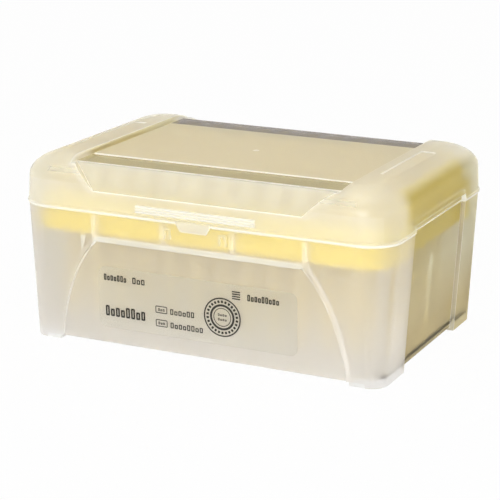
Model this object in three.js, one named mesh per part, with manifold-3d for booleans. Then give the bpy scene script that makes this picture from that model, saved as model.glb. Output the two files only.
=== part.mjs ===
// Box of pipette tips: a hinged box in clear polypropylene, a yellow tray and 96 tips.
// Millimetres, +Z up, standing on z = 0, the latch on the -Y side and the hinge on the +Y side.

import * as THREE from 'three';
import { ConvexGeometry } from 'three/addons/geometries/ConvexGeometry.js';
import { mergeVertices } from 'three/addons/utils/BufferGeometryUtils.js';
import Module from 'manifold-3d';

const wasm = await Module();
wasm.setup();

// ---- driving dimensions -------------------------------------------------------------

const wall = 1.2;              // wall thickness of both mouldings
const gap = 0.3;               // clearance between neighbouring pieces
const far = 80;                // well outside the box, for cutting tools
const bite = 0.3;              // how far a rib or a knuckle is sunk into its wall

const base = {                 // outer size and plan corner radius, at the foot and at the rim
  foot: { z: 0, halfX: 61.5, halfY: 40.6, radius: 5.5 },
  rim: { z: 44.5, halfX: 64.2, halfY: 43.5, radius: 10.4 },
  underside: 1.2,              // underside of the floor, between the feet
  footInsideX: 50.8, footInsideY: 22.4,
};

const arch = {                 // recessed label panel, front and rear
  depthFoot: 0.4, depthTop: 1.7,
  top: 35.2, topHalf: 36.0,    // the ledge across its top
  bendHalf: 47.6, bendZ: 23.0, // control point of the flank curve
  footHalf: 50.0,
  cutDepth: 20,                // length of the cutting tool in front of the panel
  topGrow: 0.6, bendGrow: 0.3, // how much the ledge's ends and the bend move when the outline grows
};

const sidePanel = {            // recessed panel between the corner posts, both ends
  depth: 1.4,
  halfY: 22.4,
  top: 47.0,                   // it runs up into the lid
  ribTop: 32.5, ribWidth: 1.2, ribDepth: 1.2,
};

const trayGuide = {            // upright ribs that centre the tray, with a seat under its skirt
  at: [-36.6, -12.1, 12.1, 36.6],
  top: 43.5, width: 1.1,
  seatTop: 36.5, seatBottom: 35.3, seatReach: 2.0,
};

const cornerRib = {            // upright rib inside each corner post, under the tray's skirt
  y: 36.0, width: 1.1, inside: 57.4, top: 36.5,
  sink: 0.85,                  // how far its outer edge lies behind the outside of the box
};

const lid = {
  halfX: 64.6, halfY: 43.9,    // outer size of the rim bead
  bottom: 44.8,                // underside of the rim
  bead: 0.9,                   // height of the rim bead
  beadStep: 0.3,               // how far the bead stands out
  top: 60.8,                   // top of the two side bars
  lean: 0.03,                  // how far its walls lean in, per millimetre of height
  edgeAcross: 11.0, edgeHeight: 7.2, edgeSteps: 8, // rounding of the top edges
  corner: 10.6, topCorner: 5.0,
};

const trough = {               // sunken middle of the lid, open to the front and the rear
  floor: 59.0,
  halfX: 46.0,
  flare: 0.55,                 // sideways lean of its flanks, per millimetre of height
  flatHalfY: 36.0,             // where the floor turns down at 45 degrees
  windowBottomHalf: 36.3,      // half width of the slanted face at its lower edge
  windowBottom: 51.9,
  panelTop: 59.5, panelHalfX: 45.6, panelHalfY: 25.8,
  windowDepth: 12,             // length of the cutting tool in front of the slanted face
  windowCut: 3,                // how far that tool runs below the slanted face
  slantShift: 0.4,             // backward shift of the 45 degree turn, per millimetre of growth
};

const barField = { x: 53.0, halfX: 2.5, halfY: 17.5, depth: 0.4 };

const latch = {
  padHalf: 20.5, padBottom: 45.8, padTop: 49.2, padDepth: 0.7,
  ribs: 4, ribHeight: 0.5, lowestRibCut: 1.2,
  tabTopHalf: 6.0, tabBottomHalf: 4.5, tabBottom: 42.4, tabThick: 0.8, tabProud: 0.7,
  guideX: 9.6, guideWidth: 2.6, guideTop: 42.9, guideBottom: 39.3, guideProud: 0.25,
  guideSlot: 1.2, guideBridge: 0.8,
};

const hinge = {
  at: [-26.0, 26.0],
  y: 45.9, z: 44.1,            // axis
  knuckle: 1.8,                // knuckle radius
  pin: 0.9,                    // pin radius
  lidHalf: 4.0,                // half width of the lid's knuckle
  baseWidth: 3.0,              // width of each of the base's two knuckles
  armDrop: 6.0, armRise: 5.0,  // how far the arms run down and up the rear wall
  sides: 20,
};

const tray = {                 // outer size and corner radius, at the foot and at the plate
  foot: { z: 36.9, halfX: 60.0, halfY: 39.0, radius: 7.0 },
  plate: { z: 49.5, halfX: 58.8, halfY: 37.8, radius: 6.0 },
  plateThick: 1.6, plateInset: 0.5,
  endWall: { x: 60.2, thick: 1.5, halfY: 24.8, foot: 43.9, top: 57.1, chamfer: 2.0 },
};

const tip = {
  pitch: 9.0, columns: 12, rows: 8, looseRows: 4,
  length: 50.0, collar: 7.5,   // the collar stands on the tray
  collarRadius: 3.9, shoulderRadius: 2.75, endRadius: 0.5,
  boreTop: 2.9, boreEnd: 0.24,
  holeRadius: 3.1,
  bridgeHalf: 0.5, bridgeHeight: 0.8, bridgeBite: 0.2,
  sides: 8,
};

const label = { x: -1.0, z: 16.8, halfX: 34.8, halfZ: 10.2, radius: 2.5, thick: 0.2 };

// ---- solids and meshes --------------------------------------------------------------

function toSolid(geometry) {
  const bare = geometry.clone();
  bare.deleteAttribute('normal');
  bare.deleteAttribute('uv');
  const merged = mergeVertices(bare, 1e-4);
  const vertProperties = new Float32Array(merged.attributes.position.array);
  const triVerts = new Uint32Array(merged.index.array);
  return new wasm.Manifold(new wasm.Mesh({ numProp: 3, vertProperties, triVerts }));
}

function toGeometry(solid) {
  const mesh = solid.getMesh();
  const geometry = new THREE.BufferGeometry();
  geometry.setAttribute('position', new THREE.BufferAttribute(mesh.vertProperties, 3));
  geometry.setIndex(new THREE.BufferAttribute(mesh.triVerts, 1));
  geometry.computeVertexNormals();
  return geometry;
}

function hull(points) {
  return toSolid(new ConvexGeometry(points.map((p) => new THREE.Vector3(...p))));
}

// A block between two corners, given as [x0, x1], [y0, y1], [z0, z1].
function block(xs, ys, zs) {
  const geometry = new THREE.BoxGeometry(xs[1] - xs[0], ys[1] - ys[0], zs[1] - zs[0]);
  geometry.translate((xs[0] + xs[1]) / 2, (ys[0] + ys[1]) / 2, (zs[0] + zs[1]) / 2);
  return toSolid(geometry);
}

function roundedRectangle(halfX, halfY, radius, corner = 8) {
  const points = [];
  for (let quarter = 0; quarter < 4; quarter += 1) {
    const centreX = (quarter === 0 || quarter === 3 ? 1 : -1) * (halfX - radius);
    const centreY = (quarter < 2 ? 1 : -1) * (halfY - radius);
    for (let step = 0; step <= corner; step += 1) {
      const angle = (quarter + step / corner) * (Math.PI / 2);
      points.push(new THREE.Vector2(
        centreX + radius * Math.cos(angle),
        centreY + radius * Math.sin(angle),
      ));
    }
  }
  return new THREE.Shape(points);
}

// A rounded rectangle raised through levels of { z, halfX, halfY, radius }.
function raised(levels) {
  const { halfX, halfY, radius } = levels[0];
  const geometry = new THREE.ExtrudeGeometry(roundedRectangle(halfX, halfY, radius), {
    depth: 1, steps: levels.length - 1, bevelEnabled: false,
  });
  const position = geometry.attributes.position;
  for (let i = 0; i < position.count; i += 1) {
    const level = levels[Math.round(position.getZ(i) * (levels.length - 1))];
    const signX = Math.sign(position.getX(i));
    const signY = Math.sign(position.getY(i));
    const alongX = (position.getX(i) - signX * (halfX - radius)) / radius;
    const alongY = (position.getY(i) - signY * (halfY - radius)) / radius;
    position.setXYZ(
      i,
      signX * (level.halfX - level.radius) + alongX * level.radius,
      signY * (level.halfY - level.radius) + alongY * level.radius,
      level.z,
    );
  }
  return toSolid(geometry);
}

// The outline on the straight line through two levels, at height z, set in by `inset`.
function levelAt(lower, upper, z, inset = 0) {
  const mix = (key) => THREE.MathUtils.mapLinear(z, lower.z, upper.z, lower[key], upper[key]);
  return {
    z,
    halfX: mix('halfX') - inset,
    halfY: mix('halfY') - inset,
    radius: Math.max(mix('radius') - inset, 0.5),
  };
}

function baseAt(z, inset = 0) {
  return levelAt(base.foot, base.rim, z, inset);
}

// Distance of the label panel's face from the middle of the box, at height z.
function panelFace(z) {
  return baseAt(z).halfY - THREE.MathUtils.mapLinear(z, 0, arch.top, arch.depthFoot, arch.depthTop);
}

// A thick slab in front of the label panel's plane, cut to an outline in X and Z.
function frontSlab(outline, depth, setBack) {
  const geometry = new THREE.ExtrudeGeometry(outline, {
    depth, curveSegments: 12, bevelEnabled: false,
  });
  geometry.rotateX(Math.PI / 2);
  const lean = panelFace(1) - panelFace(0);
  geometry.applyMatrix4(new THREE.Matrix4().makeShear(0, 0, 0, 0, 0, -lean));
  geometry.translate(0, setBack - panelFace(0), 0);
  return geometry;
}

function turned(solid) {
  return solid.rotate([0, 0, 180]);
}

// ---- base ---------------------------------------------------------------------------

function archOutline(grow) {
  const topHalf = arch.topHalf + arch.topGrow * grow;
  const footHalf = arch.footHalf + grow;
  const below = -5;
  const shape = new THREE.Shape();
  shape.moveTo(-footHalf, below);
  shape.lineTo(footHalf, below);
  shape.lineTo(footHalf, 0);
  shape.quadraticCurveTo(
    arch.bendHalf + grow, arch.bendZ + arch.bendGrow * grow, topHalf, arch.top + grow,
  );
  shape.lineTo(-topHalf, arch.top + grow);
  shape.quadraticCurveTo(
    -arch.bendHalf - grow, arch.bendZ + arch.bendGrow * grow, -footHalf, 0,
  );
  shape.closePath();
  return shape;
}

// The space outside one side panel; `grow` widens it and pushes it into the box.
function sideRecess(grow) {
  const { depth, halfY, top } = sidePanel;
  const points = [];
  for (const z of [-5, top + grow]) {
    for (const y of [-halfY - grow, halfY + grow]) {
      points.push([baseAt(z).halfX - depth - grow, y, z], [far, y, z]);
    }
  }
  return hull(points);
}

function hingeKnuckle(x0, x1, radius) {
  const geometry = new THREE.CylinderGeometry(radius, radius, x1 - x0, hinge.sides);
  geometry.rotateZ(Math.PI / 2);
  geometry.translate((x0 + x1) / 2, hinge.y, hinge.z);
  return toSolid(geometry);
}

function buildBase() {
  const floor = base.underside + wall;
  const { top: archTop } = arch;
  const frontRecess = (grow) => toSolid(frontSlab(archOutline(grow), arch.cutDepth, grow));
  const recesses = [frontRecess(0), sideRecess(0)];
  const grownRecesses = [frontRecess(wall), sideRecess(wall)];
  let room = raised([baseAt(floor, wall), baseAt(base.rim.z + 1, wall)]);
  for (const grown of grownRecesses) {
    room = room.subtract(grown).subtract(turned(grown));
  }
  let body = raised([base.foot, base.rim]).subtract(room);
  for (const recess of recesses) {
    body = body.subtract(recess).subtract(turned(recess));
  }

  // The underside is raised between the four feet.
  const { footInsideX, footInsideY, underside } = base;
  const across = block([-footInsideX, footInsideX], [-far, far], [-far, underside]);
  const along = block([-far, far], [-footInsideY, footInsideY], [-far, underside]);
  body = body.subtract(across).subtract(along);

  // Ribs inside the front and rear walls keep the tray in the middle and carry its skirt.
  const inside = -(baseAt(archTop).halfY - wall / 2);
  const skirt = -(tray.foot.halfY + gap);
  for (const x of trayGuide.at) {
    const xs = [x - trayGuide.width / 2, x + trayGuide.width / 2];
    const upright = block(xs, [inside, skirt], [trayGuide.seatBottom, trayGuide.top]);
    const seat = block(xs, [inside, skirt + trayGuide.seatReach],
      [trayGuide.seatBottom, trayGuide.seatTop]);
    const rib = upright.add(seat);
    body = body.add(rib).add(turned(rib));
  }

  // One rib down the middle of each side panel, on its inside.
  const half = sidePanel.ribWidth / 2;
  const ribPoints = [];
  for (const z of [floor - bite, sidePanel.ribTop]) {
    const face = baseAt(z).halfX - sidePanel.depth - wall;
    for (const y of [-half, half]) {
      ribPoints.push([face + bite, y, z], [face - sidePanel.ribDepth, y, z]);
    }
  }
  const sideRib = hull(ribPoints);
  body = body.add(sideRib).add(turned(sideRib));

  // A rib inside each corner post carries the corners of the tray's skirt.
  for (const y of [-cornerRib.y, cornerRib.y]) {
    const ys = [y - cornerRib.width / 2, y + cornerRib.width / 2];
    const corners = [floor - bite, cornerRib.top].flatMap((z) => ys.flatMap((edge) => [
      [baseAt(z).halfX - cornerRib.sink, edge, z], [cornerRib.inside, edge, z],
    ]));
    const post = hull(corners);
    body = body.add(post).add(turned(post));
  }

  // Two small frames beside the latch tab, on the front wall.
  const wallY = -baseAt(latch.guideTop).halfY;
  for (const x of [-latch.guideX, latch.guideX]) {
    const xs = [x - latch.guideWidth / 2, x + latch.guideWidth / 2];
    const frame = block(xs, [wallY - latch.guideProud, wallY + wall / 2],
      [latch.guideBottom, latch.guideTop]);
    const slot = block([x - latch.guideSlot / 2, x + latch.guideSlot / 2],
      [-far, wallY + latch.guideProud],
      [latch.guideBottom - bite, latch.guideTop - latch.guideBridge]);
    body = body.add(frame).subtract(slot);
  }

  // Two knuckles for each hinge, bored for the lid's pins.
  const { halfY, z: rimZ } = base.rim;
  for (const at of hinge.at) {
    for (const side of [-1, 1]) {
      const near = at + side * (hinge.lidHalf + gap);
      const far = near + side * hinge.baseWidth;
      const x0 = Math.min(near, far);
      const x1 = Math.max(near, far);
      const arm = hull([x0, x1].flatMap((x) => [
        [x, halfY - wall / 2, rimZ - gap], [x, halfY - wall, rimZ - hinge.armDrop],
        [x, hinge.y, hinge.z - hinge.knuckle], [x, hinge.y, hinge.z],
      ]));
      const bore = hingeKnuckle(x0 - 1, x1 + 1, hinge.pin + gap);
      body = body.add(arm).add(hingeKnuckle(x0, x1, hinge.knuckle)).subtract(bore);
    }
  }
  return body;
}

// ---- lid ----------------------------------------------------------------------------

// The lid's outer form for grow = 0, and the room inside it for grow = wall.
function lidForm(grow, bottom) {
  const levels = [];
  const level = (z, inset, radius) => {
    levels.push({ z, halfX: lid.halfX - inset, halfY: lid.halfY - inset, radius: radius - grow });
  };
  if (grow === 0) {
    level(bottom, 0, lid.corner);
    level(bottom + lid.bead, 0, lid.corner);
    level(bottom + lid.bead + lid.beadStep, lid.beadStep, lid.corner);
  } else {
    level(bottom, lid.beadStep + grow, lid.corner);
  }
  const edgeStart = lid.top - lid.edgeHeight;
  const upright = lid.beadStep + grow + lid.lean * (edgeStart - lid.bottom);
  for (let i = 0; i <= lid.edgeSteps; i += 1) {
    const angle = (i / lid.edgeSteps) * (Math.PI / 2);
    const across = 1 - Math.cos(angle);
    level(
      edgeStart + (lid.edgeHeight - grow) * Math.sin(angle),
      upright + (lid.edgeAcross - grow) * across,
      lid.corner + (lid.topCorner - lid.corner) * across,
    );
  }
  let form = raised(levels);

  // The sunken middle.
  const floorZ = trough.floor - grow;
  const topZ = lid.top + lid.edgeHeight;
  const flankAt = (z) => trough.halfX + grow + trough.flare * (z - floorZ);
  const middle = [];
  for (const side of [-1, 1]) {
    for (const y of [-far, far]) {
      middle.push([side * flankAt(floorZ), y, floorZ], [side * flankAt(topZ), y, topZ]);
    }
  }
  const sunk = hull(middle);

  // The slanted face at the front, narrower towards its foot.
  const turn = -(trough.flatHalfY - grow * trough.slantShift);
  const narrowing = (trough.halfX - trough.windowBottomHalf) / (trough.floor - trough.windowBottom);
  const foot = trough.windowBottom - trough.windowCut;
  const drop = floorZ - foot;
  const footHalf = trough.halfX + grow - narrowing * drop;
  const out = trough.windowDepth;
  const spread = trough.flare * out;
  const upper = trough.halfX + grow;
  const slanted = [];
  for (const side of [-1, 1]) {
    slanted.push(
      [side * upper, turn, floorZ],
      [side * footHalf, turn - drop, foot],
      [side * (upper + spread), turn - out, floorZ + out],
      [side * (footHalf + spread), turn - drop - out, foot + out],
    );
  }
  const window = hull(slanted);
  form = form.subtract(sunk).subtract(window).subtract(turned(window));
  return form;
}

function buildLid() {
  let body = lidForm(0, lid.bottom);
  const { panelTop, panelHalfX, panelHalfY, floor } = trough;
  const panel = block([-panelHalfX, panelHalfX], [-panelHalfY, panelHalfY],
    [floor - wall / 2, panelTop]);
  body = body.add(panel);

  let room = lidForm(wall, lid.bottom - lid.bead);
  const sideGrown = sideRecess(wall);
  room = room.subtract(sideGrown).subtract(turned(sideGrown));
  body = body.subtract(room);

  const side = sideRecess(0);
  body = body.subtract(side).subtract(turned(side));

  // A shallow sunken field in the top of each side bar.
  const { x, halfX, halfY, depth } = barField;
  const field = block([x - halfX, x + halfX], [-halfY, halfY], [lid.top - depth, far]);
  body = body.subtract(field).subtract(turned(field));

  // Grip ribs above the latch tab.
  const faceY = -(lid.halfY - lid.beadStep);
  const pitch = (latch.padTop - latch.padBottom) / latch.ribs;
  for (let i = 0; i < latch.ribs; i += 1) {
    const z = latch.padBottom + i * pitch;
    const cut = i === 0 ? latch.lowestRibCut : 0;
    const rib = block(
      [-latch.padHalf, latch.padHalf - cut],
      [faceY - latch.padDepth + lid.lean * (z - lid.bottom), faceY + wall / 2],
      [z, z + latch.ribHeight],
    );
    body = body.add(rib);
  }

  // The tab hangs from the rim, in front of the base.
  const { tabTopHalf, tabBottomHalf, tabBottom, tabThick, tabProud } = latch;
  const tabOuter = -lid.halfY - tabProud;
  const tab = hull([tabOuter, tabOuter + tabThick].flatMap((y) => [
    [-tabTopHalf, y, lid.bottom + bite], [tabTopHalf, y, lid.bottom + bite],
    [-tabBottomHalf, y, tabBottom], [tabBottomHalf, y, tabBottom],
  ]));
  const root = block([-tabTopHalf, tabTopHalf], [tabOuter, faceY + wall / 2],
    [lid.bottom, lid.bottom + lid.bead]);
  body = body.add(tab).add(root);

  // One knuckle for each hinge, with a pin on either side.
  for (const at of hinge.at) {
    const x0 = at - hinge.lidHalf;
    const x1 = at + hinge.lidHalf;
    const pinReach = hinge.baseWidth - gap;
    const rearFace = lid.halfY - lid.beadStep - wall / 2;
    const arm = hull([x0, x1].flatMap((x) => [
      [x, rearFace, lid.bottom + gap / 2], [x, rearFace, lid.bottom + hinge.armRise],
      [x, hinge.y, hinge.z + hinge.knuckle], [x, hinge.y, lid.bottom],
    ]));
    body = body.add(arm).add(hingeKnuckle(x0, x1, hinge.knuckle));
    body = body.add(hingeKnuckle(x0 - pinReach, x1 + pinReach, hinge.pin));
  }
  return body;
}

// ---- tray and tips ------------------------------------------------------------------

function tipShape() {
  const end = tip.collar - tip.length;
  const profile = [
    [tip.boreEnd, end],
    [tip.endRadius, end],
    [tip.shoulderRadius, 0],
    [tip.collarRadius, 0],
    [tip.collarRadius, tip.collar],
    [tip.boreTop, tip.collar],
    [tip.boreEnd, end],
  ].map(([radius, z]) => new THREE.Vector2(radius, z));
  const geometry = new THREE.LatheGeometry(profile, tip.sides, Math.PI / tip.sides);
  geometry.rotateX(Math.PI / 2);
  geometry.translate(0, 0, tray.plate.z + gap);
  return geometry;
}

function columnX(column) {
  return (column - (tip.columns - 1) / 2) * tip.pitch;
}

function rowY(row) {
  return ((tip.rows - 1) / 2 - row) * tip.pitch;
}

function trayAt(z, inset) {
  return levelAt(tray.foot, tray.plate, z, inset);
}

// The skirt under the plate, with a wall at each end that stands above it.
function buildTrayFrame() {
  const top = tray.plate.z - tray.plateThick - gap;
  const room = raised([trayAt(tray.foot.z - bite, wall), trayAt(top + bite, wall)]);
  const body = raised([tray.foot, trayAt(top, 0)]).subtract(room);

  const end = tray.endWall;
  const inner = end.x - end.thick;
  const wallPoints = [];
  for (const y of [-end.halfY, end.halfY]) {
    const narrow = y * (1 - end.chamfer / end.halfY);
    wallPoints.push(
      [inner, y, end.foot], [end.x, y, end.foot],
      [inner, y, end.top - end.chamfer], [end.x, y, end.top - end.chamfer],
      [inner, narrow, end.top], [end.x - end.thick / 3, narrow, end.top],
    );
  }
  const endWall = hull(wallPoints);
  return body.add(endWall).add(turned(endWall));
}

function buildTrayPlate() {
  const { plate, plateThick, plateInset } = tray;
  const underside = plate.z - plateThick;
  let body = raised([trayAt(underside, plateInset), trayAt(plate.z, plateInset)]);
  const hole = new THREE.CylinderGeometry(tip.holeRadius, tip.holeRadius, 2 * plateThick, tip.sides);
  hole.rotateX(Math.PI / 2);
  hole.rotateZ(Math.PI / tip.sides);
  const tool = toSolid(hole);
  for (let row = 0; row < tip.rows; row += 1) {
    for (let column = 0; column < tip.columns; column += 1) {
      body = body.subtract(tool.translate([columnX(column), rowY(row), plate.z - plateThick / 2]));
    }
  }
  return body;
}

// A rear row of tips, joined at the collars because a model holds at most 60 pieces.
function buildTipRow(row) {
  const one = toSolid(tipShape());
  const foot = tray.plate.z + gap;
  const flat = tip.collarRadius * Math.cos(Math.PI / tip.sides) - tip.bridgeBite;
  let body = one.translate([columnX(0), rowY(row), 0]);
  for (let column = 1; column < tip.columns; column += 1) {
    const x = columnX(column);
    const bridge = block([x - tip.pitch + flat, x - flat],
      [rowY(row) - tip.bridgeHalf, rowY(row) + tip.bridgeHalf], [foot, foot + tip.bridgeHeight]);
    body = body.add(bridge).add(one.translate([x, rowY(row), 0]));
  }
  return body;
}

function buildLabel() {
  const points = roundedRectangle(label.halfX, label.halfZ, label.radius, 4).getPoints();
  const place = new THREE.Vector2(label.x, label.z);
  const shape = new THREE.Shape(points.map((point) => point.add(place)));
  return frontSlab(shape, label.thick, -gap);
}

// ---- assembly -----------------------------------------------------------------------

const clear = { transparent: true, metalness: 0 };
const materials = {
  box: new THREE.MeshStandardMaterial({ color: 0xe9e4d2, roughness: 0.35, opacity: 0.55, ...clear }),
  lid: new THREE.MeshStandardMaterial({ color: 0xeee9d2, roughness: 0.3, opacity: 0.5, ...clear }),
  tray: new THREE.MeshStandardMaterial({ color: 0xf2d23c, roughness: 0.45, metalness: 0 }),
  tip: new THREE.MeshStandardMaterial({ color: 0xf3f0e4, roughness: 0.3, opacity: 0.8, ...clear }),
  film: new THREE.MeshStandardMaterial({ color: 0xf4f0e6, roughness: 0.25, opacity: 0.6, ...clear }),
};

function named(name, geometry, material) {
  const mesh = new THREE.Mesh(geometry, material);
  mesh.name = name;
  return mesh;
}

const box = new THREE.Group();
box.add(named('base', toGeometry(buildBase()), materials.box));
box.add(named('lid', toGeometry(buildLid()), materials.lid));
box.add(named('tray_frame', toGeometry(buildTrayFrame()), materials.tray));
box.add(named('tray_plate', toGeometry(buildTrayPlate()), materials.tray));
box.add(named('label', buildLabel(), materials.film));
for (let row = 0; row < tip.rows; row += 1) {
  const letter = 'ABCDEFGH'[row];
  if (row < tip.rows - tip.looseRows) {
    box.add(named(`tips_row_${letter}`, toGeometry(buildTipRow(row)), materials.tip));
  } else {
    for (let column = 0; column < tip.columns; column += 1) {
      const mesh = named(`tip_${letter}${column + 1}`, tipShape(), materials.tip);
      mesh.position.set(columnX(column), rowY(row), 0);
      box.add(mesh);
    }
  }
}

// The frame's origin is under the middle of the overall length and depth.
const frontReach = lid.halfY + latch.tabProud;
const rearReach = hinge.y + hinge.knuckle;
box.position.y = (frontReach - rearReach) / 2;

export default box;
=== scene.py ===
import math

import bmesh
import bpy
from mathutils import Matrix, Vector


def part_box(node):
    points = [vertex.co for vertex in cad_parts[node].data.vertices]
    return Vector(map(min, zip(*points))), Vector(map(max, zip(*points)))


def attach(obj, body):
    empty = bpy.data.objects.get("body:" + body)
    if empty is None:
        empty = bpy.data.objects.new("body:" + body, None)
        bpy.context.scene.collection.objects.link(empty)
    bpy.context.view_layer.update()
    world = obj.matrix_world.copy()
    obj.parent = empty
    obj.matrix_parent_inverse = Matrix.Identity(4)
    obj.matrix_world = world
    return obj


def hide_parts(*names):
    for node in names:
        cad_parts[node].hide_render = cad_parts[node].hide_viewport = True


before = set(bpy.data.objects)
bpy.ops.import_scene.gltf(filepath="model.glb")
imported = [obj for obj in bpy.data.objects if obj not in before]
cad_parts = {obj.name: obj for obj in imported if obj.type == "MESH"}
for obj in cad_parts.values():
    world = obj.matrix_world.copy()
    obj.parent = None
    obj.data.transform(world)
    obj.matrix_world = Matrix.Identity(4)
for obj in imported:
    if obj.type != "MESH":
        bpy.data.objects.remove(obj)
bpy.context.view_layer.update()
scene = bpy.context.scene
mm = 0.001
touching = 1e-6              # metres within which a point counts as lying on a plane or an edge


def boxInMm(node):
    # Lowest and highest corner of a node at rest, in millimetres
    return [[round(c / mm, 3) for c in corner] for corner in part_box(node)]


trayLow, trayHigh = boxInMm("tray_frame")
plateLow, plateHigh = boxInMm("tray_plate")
middleY = round((trayLow[1] + trayHigh[1]) / 2, 3)    # tips, tray and panels are centred here, not on the box
print("frame loaded,", len(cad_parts), "nodes")

view = {
    # the camera's place in metres, its tilt and turn in degrees and its lens in millimetres
    "place": (0.24466, -0.50663, 0.18653),
    "tilt": 74.024,
    "turn": 26.052,
    "lens": 127.4,
}

studio = {
    "worldLight": 0.59,      # what the world gives to the object
    "floorGlow": 0.97,       # share of the floor that glows white to the camera, the rest takes the shadow
    "floorColour": 0xF4F3F1,
    "floorHalf": 3.0,
    "aim": (0, 0, 0.03),     # where all lamps point
    "keyPlace": (0.02, -1.05, 0.36),
    "keySize": 0.55,
    "keyPower": 6.0,
    "topPlace": (0.0, 0.10, 0.90),
    "topSize": 0.5,
    "topPower": 1.0,
    "sidePlace": (1.0, -0.35, 0.22),
    "sideSize": 0.5,
    "sidePower": 2.2,
}


def toLinear(hexColour):
    parts = [((hexColour >> shift) & 255) / 255 for shift in (16, 8, 0)]
    return [p / 12.92 if p <= 0.04045 else ((p + 0.055) / 1.055) ** 2.4 for p in parts] + [1.0]


def addNode(tree, kind, inputs=None, **settings):
    new = tree.nodes.new(kind)
    for key, value in settings.items():
        setattr(new, key, value)
    for key, value in (inputs or {}).items():
        if isinstance(value, bpy.types.NodeSocket):
            tree.links.new(value, new.inputs[key])
        else:
            new.inputs[key].default_value = value
    return new


def newMaterial(name):
    material = bpy.data.materials.new(name)
    material.use_nodes = True
    material.node_tree.nodes.clear()
    return material, material.node_tree


def seenFromCamera(tree):
    # 1 for what the camera sees directly, in a reflection or through the clear walls
    path = addNode(tree, "ShaderNodeLightPath")
    seen = path.outputs["Is Camera Ray"]
    for kind in ("Is Glossy Ray", "Is Transmission Ray"):
        either = addNode(tree, "ShaderNodeMath", {0: seen, 1: path.outputs[kind]}, operation="MAXIMUM")
        seen = either.outputs[0]
    return seen


def buildStudio():
    camera = bpy.data.objects.new("camera", bpy.data.cameras.new("camera"))
    scene.collection.objects.link(camera)
    camera.location = view["place"]
    camera.rotation_euler = (math.radians(view["tilt"]), 0, math.radians(view["turn"]))
    camera.data.lens = view["lens"]
    scene.camera = camera

    scene.world = bpy.data.worlds.new("studio")
    scene.world.use_nodes = True
    tree = scene.world.node_tree
    tree.nodes.clear()
    level = addNode(tree, "ShaderNodeMix", {0: seenFromCamera(tree), 2: studio["worldLight"], 3: 1.0},
                    data_type="FLOAT")
    sky = addNode(tree, "ShaderNodeBackground", {"Strength": level.outputs[0]})
    addNode(tree, "ShaderNodeOutputWorld", {"Surface": sky.outputs[0]})

    for name in ("key", "top", "side"):
        lamp = bpy.data.lights.new(name, "AREA")
        lamp.size = studio[name + "Size"]
        lamp.energy = studio[name + "Power"]
        lampObject = bpy.data.objects.new(name, lamp)
        scene.collection.objects.link(lampObject)
        place = Vector(studio[name + "Place"])
        lampObject.location = place
        lampObject.rotation_euler = (Vector(studio["aim"]) - place).to_track_quat("-Z", "Y").to_euler()

    bm = bmesh.new()
    bmesh.ops.create_grid(bm, x_segments=1, y_segments=1, size=studio["floorHalf"])
    mesh = bpy.data.meshes.new("floor")
    bm.to_mesh(mesh)
    bm.free()
    floor = bpy.data.objects.new("floor", mesh)
    scene.collection.objects.link(floor)
    material, tree = newMaterial("whiteTable")
    paper = addNode(tree, "ShaderNodeBsdfDiffuse", {"Color": toLinear(studio["floorColour"])})
    glow = addNode(tree, "ShaderNodeEmission", {"Color": (1, 1, 1, 1), "Strength": 1.0})
    share = addNode(tree, "ShaderNodeMath", {0: seenFromCamera(tree), 1: studio["floorGlow"]},
                    operation="MULTIPLY")
    mixed = addNode(tree, "ShaderNodeMixShader",
                    {0: share.outputs[0], 1: paper.outputs[0], 2: glow.outputs[0]})
    addNode(tree, "ShaderNodeOutputMaterial", {"Surface": mixed.outputs[0]})
    mesh.materials.append(material)
    scene.view_settings.view_transform = "Standard"


buildStudio()
print("studio ready")


clearFinishes = {
    # in, out: roughness where light enters and leaves the plastic. haze: the share that its milk scatters.
    # through: what one wall lets pass. shine: roughness of the highlights. grain: width of the mould's
    # spark-eroded texture and its height, in millimetres.
    "satin": {"in": 0.40, "out": 0.85, "haze": 0.11, "through": 0xF2EFEB, "ior": 1.42,
              "shine": 0.22, "grain": (0.35, 0.010)},
    "lidSatin": {"in": 0.55, "out": 0.95, "haze": 0.20, "through": 0xEDEBE4, "ior": 1.42,
                 "shine": 0.22, "grain": (0.35, 0.010)},
    "lidFront": {"in": 0.55, "out": 0.95, "haze": 0.30, "through": 0xEDEBE6, "ior": 1.42,
                 "shine": 0.22, "grain": (0.35, 0.010)},
    "rib": {"in": 0.30, "out": 0.85, "haze": 0.06, "through": 0xF1EFEB, "ior": 1.08,
            "shine": 0.22, "grain": (0.35, 0.010)},
    "frosted": {"in": 0.55, "out": 0.85, "haze": 0.10, "through": 0xEBE8DC, "ior": 1.35,
                "shine": 0.42, "grain": (0.30, 0.020)},
    "window": {"in": 0.25, "out": 0.85, "haze": 0.27, "through": 0xEDEDE9, "ior": 1.42,
               "shine": 0.10, "grain": (0.60, 0.003)},
    # The front strip's darker through tint is painted shade, of the tray in shade below it.
    "strip": {"in": 0.10, "out": 0.50, "haze": 0.03, "through": 0xD8D5C1, "ior": 1.20,
              "shine": 0.07, "grain": (0.60, 0.003)},
    # The rear strip's grey through tint is painted shade: the dark surroundings behind the box, seen through
    # the polished strip.
    "rearStripPaintedShade": {"in": 0.10, "out": 0.50, "haze": 0.03, "through": 0xB2AEAE, "ior": 1.20,
                  "shine": 0.07, "grain": (0.60, 0.003)},
    # The narrow ends of the corner posts: their dark golden through tint is painted warm shade.
    "postEndShaded": {"in": 0.30, "out": 0.85, "haze": 0.16, "through": 0xBFB595, "ior": 1.16,
                "shine": 0.22, "grain": (0.35, 0.010)},
    "soft": {"in": 0.85, "out": 0.95, "haze": 0.34, "through": 0xEDEDE9, "ior": 1.42,
             "shine": 0.25, "grain": (0.35, 0.010)},
    "deep": {"in": 0.55, "out": 0.85, "haze": 0.62, "through": 0xEDEDE9, "ior": 1.42,
             "shine": 0.25, "grain": (0.35, 0.010)},
    "edge": {"in": 0.60, "out": 0.85, "haze": 0.95, "through": 0xEDEDE9, "ior": 1.42,
             "shine": 0.25, "grain": (0.35, 0.010)},
}
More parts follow.
